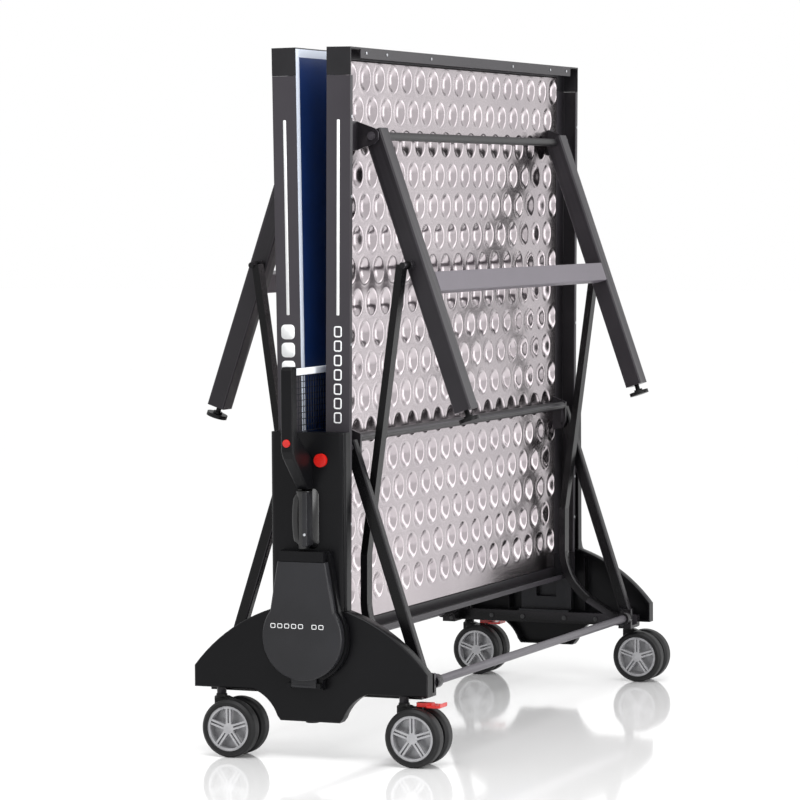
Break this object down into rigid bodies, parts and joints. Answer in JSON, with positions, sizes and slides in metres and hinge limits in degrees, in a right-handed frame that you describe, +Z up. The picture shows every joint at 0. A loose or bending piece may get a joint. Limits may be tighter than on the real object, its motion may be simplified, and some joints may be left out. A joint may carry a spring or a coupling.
{
  "type": "folding ping pong table",
  "caption": "Outdoor ping pong table stored upright: two folding halves on a wheeled carriage, net and posts in place.",
  "frame": {"origin": "on the floor under the middle of the net", "axes": "+Z up, +Y along the net (table width), +X the way the right half folds down"},
  "size_m": [0.7, 1.835, 1.6499],
  "materials": {
    "ball_holders": "moulded plastic",
    "base_covers": "fine grain moulding",
    "brake_pedal": "moulded plastic",
    "caster_fork": "glass-filled nylon",
    "corner_caps": "moulded plastic",
    "cup_sheet": "embossed metal sheet",
    "end_frames": "satin powder coat",
    "foot": "moulded plastic",
    "frame_bolts": "plated",
    "half_brackets": "satin powder coat",
    "holder_lid": "satin moulding",
    "leg_bars": "satin powder coat",
    "legs": "satin powder coat",
    "links": "satin powder coat",
    "long_tubes": "satin powder coat",
    "net": "open mesh, stood in for by a thin sheet",
    "net_button": "moulded plastic",
    "net_posts": "moulded plastic",
    "net_tape": "woven tape",
    "play_board": "satin blue lacquer",
    "post_channels": "dark anodised",
    "post_covers": "fine grain moulding",
    "post_grips": "soft grip",
    "rail_screws": "plated",
    "rails": "satin powder coat",
    "release": "moulded plastic",
    "rims": "silver-grey moulding",
    "slider_shoes": "moulded plastic",
    "swing_arms": "satin powder coat",
    "tyres": "soft rubber tread"
  },
  "bodies": {
    "carriage": {"end_frames": "end_frames", "long_tubes": "long_tubes", "frame_bolts": "frame_bolts", "post_channels": "post_channels", "base_covers": "base_covers", "post_covers": "post_covers", "net_posts": "net_posts", "net": "net", "net_tape": "net_tape", "ball_holders": "ball_holders", "post_grips": "post_grips"},
    "half_right": {"play_board_right": "play_board", "cup_sheet_right": "cup_sheet", "rails_right": "rails", "corner_caps_right": "corner_caps", "rail_screws_right": "rail_screws", "half_brackets_right": "half_brackets"},
    "shoes_right": {"slider_shoes_right": "slider_shoes"},
    "arms_right": {"swing_arms_right": "swing_arms"},
    "legs_right": {"legs_right": "legs", "leg_bars_right": "leg_bars"},
    "links_right": {"links_right": "links"},
    "screw_foot_near_right": {"foot_near_right": "foot"},
    "screw_foot_far_right": {"foot_far_right": "foot"},
    "half_left": {"play_board_left": "play_board", "cup_sheet_left": "cup_sheet", "rails_left": "rails", "corner_caps_left": "corner_caps", "rail_screws_left": "rail_screws", "half_brackets_left": "half_brackets"},
    "shoes_left": {"slider_shoes_left": "slider_shoes"},
    "arms_left": {"swing_arms_left": "swing_arms"},
    "legs_left": {"legs_left": "legs", "leg_bars_left": "leg_bars"},
    "links_left": {"links_left": "links"},
    "screw_foot_near_left": {"foot_near_left": "foot"},
    "screw_foot_far_left": {"foot_far_left": "foot"},
    "release_near_left_button": {"release_near_left": "release"},
    "release_near_right_button": {"release_near_right": "release"},
    "net_button_near_key": {"net_button_near": "net_button"},
    "lid_near": {"holder_lid_near": "holder_lid"},
    "release_far_left_button": {"release_far_left": "release"},
    "release_far_right_button": {"release_far_right": "release"},
    "net_button_far_key": {"net_button_far": "net_button"},
    "lid_far": {"holder_lid_far": "holder_lid"},
    "fork_near_left": {"caster_fork_near_left": "caster_fork"},
    "wheels_near_left": {"tyres_near_left": "tyres", "rims_near_left": "rims"},
    "fork_near_right": {"caster_fork_near_right": "caster_fork"},
    "wheels_near_right": {"tyres_near_right": "tyres", "rims_near_right": "rims"},
    "pedal_near_right": {"brake_pedal_near_right": "brake_pedal"},
    "fork_far_left": {"caster_fork_far_left": "caster_fork"},
    "wheels_far_left": {"tyres_far_left": "tyres", "rims_far_left": "rims"},
    "pedal_far_left": {"brake_pedal_far_left": "brake_pedal"},
    "fork_far_right": {"caster_fork_far_right": "caster_fork"},
    "wheels_far_right": {"tyres_far_right": "tyres", "rims_far_right": "rims"}
  },
  "joints": [
    {"name": "right_lift", "type": "slide", "parent": "carriage", "child": "shoes_right", "axis": [0, 0, 1], "range_m": [0, 0.43166]},
    {"name": "right_fold", "type": "hinge", "parent": "shoes_right", "child": "half_right", "pos_m": [0.04037, 0, 0.31384], "axis": [0, 1, 0], "range_deg": [0, 89.38]},
    {"name": "right_arm_swing", "type": "hinge", "parent": "half_right", "child": "arms_right", "pos_m": [0.07481, 0, 0.72449], "axis": [0, 1, 0], "range_deg": [-50.35, 0]},
    {"name": "right_leg_swing", "type": "hinge", "parent": "half_right", "child": "legs_right", "pos_m": [0.09762, 0, 1.44628], "axis": [0, 1, 0], "range_deg": [-77.86, 0]},
    {"name": "right_link_swing", "type": "hinge", "parent": "carriage", "child": "links_right", "pos_m": [0.26, 0, 0.18], "axis": [0, 1, 0], "range_deg": [0, 81.77]},
    {"name": "foot_near_right_screw", "type": "slide", "parent": "legs_right", "child": "screw_foot_near_right", "axis": [0.3256, 0, -0.9455], "range_m": [-0.012, 0.006]},
    {"name": "foot_far_right_screw", "type": "slide", "parent": "legs_right", "child": "screw_foot_far_right", "axis": [0.3256, 0, -0.9455], "range_m": [-0.012, 0.006]},
    {"name": "left_lift", "type": "slide", "parent": "carriage", "child": "shoes_left", "axis": [0, 0, 1], "range_m": [0, 0.43166]},
    {"name": "left_fold", "type": "hinge", "parent": "shoes_left", "child": "half_left", "pos_m": [-0.04037, 0, 0.31384], "axis": [0, -1, 0], "range_deg": [0, 89.38]},
    {"name": "left_arm_swing", "type": "hinge", "parent": "half_left", "child": "arms_left", "pos_m": [-0.07481, 0, 0.72449], "axis": [0, -1, 0], "range_deg": [-50.35, 0]},
    {"name": "left_leg_swing", "type": "hinge", "parent": "half_left", "child": "legs_left", "pos_m": [-0.09762, 0, 1.44628], "axis": [0, -1, 0], "range_deg": [-77.86, 0]},
    {"name": "left_link_swing", "type": "hinge", "parent": "carriage", "child": "links_left", "pos_m": [-0.26, 0, 0.18], "axis": [0, -1, 0], "range_deg": [0, 81.77]},
    {"name": "foot_near_left_screw", "type": "slide", "parent": "legs_left", "child": "screw_foot_near_left", "axis": [-0.3256, 0, -0.9455], "range_m": [-0.012, 0.006]},
    {"name": "foot_far_left_screw", "type": "slide", "parent": "legs_left", "child": "screw_foot_far_left", "axis": [-0.3256, 0, -0.9455], "range_m": [-0.012, 0.006]},
    {"name": "release_near_left_push", "type": "slide", "parent": "carriage", "child": "release_near_left_button", "axis": [0, 1, 0], "range_m": [0, 0.004], "stiffness_N_per_m": 300, "springref_m": -0.001},
    {"name": "release_near_right_push", "type": "slide", "parent": "carriage", "child": "release_near_right_button", "axis": [0, 1, 0], "range_m": [0, 0.004], "stiffness_N_per_m": 300, "springref_m": -0.001},
    {"name": "net_button_near_push", "type": "slide", "parent": "carriage", "child": "net_button_near_key", "axis": [0, 1, 0], "range_m": [0, 0.0025], "stiffness_N_per_m": 300, "springref_m": -0.001},
    {"name": "holder_lid_near_hinge", "type": "hinge", "parent": "carriage", "child": "lid_near", "pos_m": [0, -0.828, 0.178], "axis": [1, 0, 0], "range_deg": [0, 75]},
    {"name": "release_far_left_push", "type": "slide", "parent": "carriage", "child": "release_far_left_button", "axis": [0, -1, 0], "range_m": [0, 0.004], "stiffness_N_per_m": 300, "springref_m": -0.001},
    {"name": "release_far_right_push", "type": "slide", "parent": "carriage", "child": "release_far_right_button", "axis": [0, -1, 0], "range_m": [0, 0.004], "stiffness_N_per_m": 300, "springref_m": -0.001},
    {"name": "net_button_far_push", "type": "slide", "parent": "carriage", "child": "net_button_far_key", "axis": [0, -1, 0], "range_m": [0, 0.0025], "stiffness_N_per_m": 300, "springref_m": -0.001},
    {"name": "holder_lid_far_hinge", "type": "hinge", "parent": "carriage", "child": "lid_far", "pos_m": [0, 0.828, 0.178], "axis": [-1, 0, 0], "range_deg": [0, 75]},
    {"name": "swivel_near_left", "type": "hinge", "parent": "carriage", "child": "fork_near_left", "pos_m": [-0.232, -0.785, 0.139], "axis": [0, 0, 1], "continuous": true},
    {"name": "wheels_near_left_roll", "type": "hinge", "parent": "fork_near_left", "child": "wheels_near_left", "pos_m": [-0.196, -0.785, 0.068], "axis": [0, 1, 0], "continuous": true},
    {"name": "swivel_near_right", "type": "hinge", "parent": "carriage", "child": "fork_near_right", "pos_m": [0.232, -0.785, 0.139], "axis": [0, 0, 1], "continuous": true},
    {"name": "pedal_near_right_hinge", "type": "hinge", "parent": "fork_near_right", "child": "pedal_near_right", "pos_m": [0.272, -0.785, 0.142], "axis": [0, 1, 0], "range_deg": [0, 10]},
    {"name": "wheels_near_right_roll", "type": "hinge", "parent": "fork_near_right", "child": "wheels_near_right", "pos_m": [0.268, -0.785, 0.068], "axis": [0, 1, 0], "continuous": true},
    {"name": "swivel_far_left", "type": "hinge", "parent": "carriage", "child": "fork_far_left", "pos_m": [-0.232, 0.785, 0.139], "axis": [0, 0, 1], "continuous": true},
    {"name": "pedal_far_left_hinge", "type": "hinge", "parent": "fork_far_left", "child": "pedal_far_left", "pos_m": [-0.192, 0.785, 0.142], "axis": [0, 1, 0], "range_deg": [0, 10]},
    {"name": "wheels_far_left_roll", "type": "hinge", "parent": "fork_far_left", "child": "wheels_far_left", "pos_m": [-0.196, 0.785, 0.068], "axis": [0, 1, 0], "continuous": true},
    {"name": "swivel_far_right", "type": "hinge", "parent": "carriage", "child": "fork_far_right", "pos_m": [0.232, 0.785, 0.139], "axis": [0, 0, 1], "continuous": true},
    {"name": "wheels_far_right_roll", "type": "hinge", "parent": "fork_far_right", "child": "wheels_far_right", "pos_m": [0.268, 0.785, 0.068], "axis": [0, 1, 0], "continuous": true}
  ],
  "couplings": [
    {"joint": "right_lift", "follows": "right_fold", "m_per_rad": 0.27639},
    {"joint": "right_arm_swing", "follows": "right_fold", "ratio": -0.56219},
    {"joint": "right_leg_swing", "follows": "right_fold", "ratio": -0.86999},
    {"joint": "right_link_swing", "follows": "right_fold", "ratio": 0.91375},
    {"joint": "left_lift", "follows": "left_fold", "m_per_rad": 0.27639},
    {"joint": "left_arm_swing", "follows": "left_fold", "ratio": -0.56219},
    {"joint": "left_leg_swing", "follows": "left_fold", "ratio": -0.86999},
    {"joint": "left_link_swing", "follows": "left_fold", "ratio": 0.91375}
  ]
}
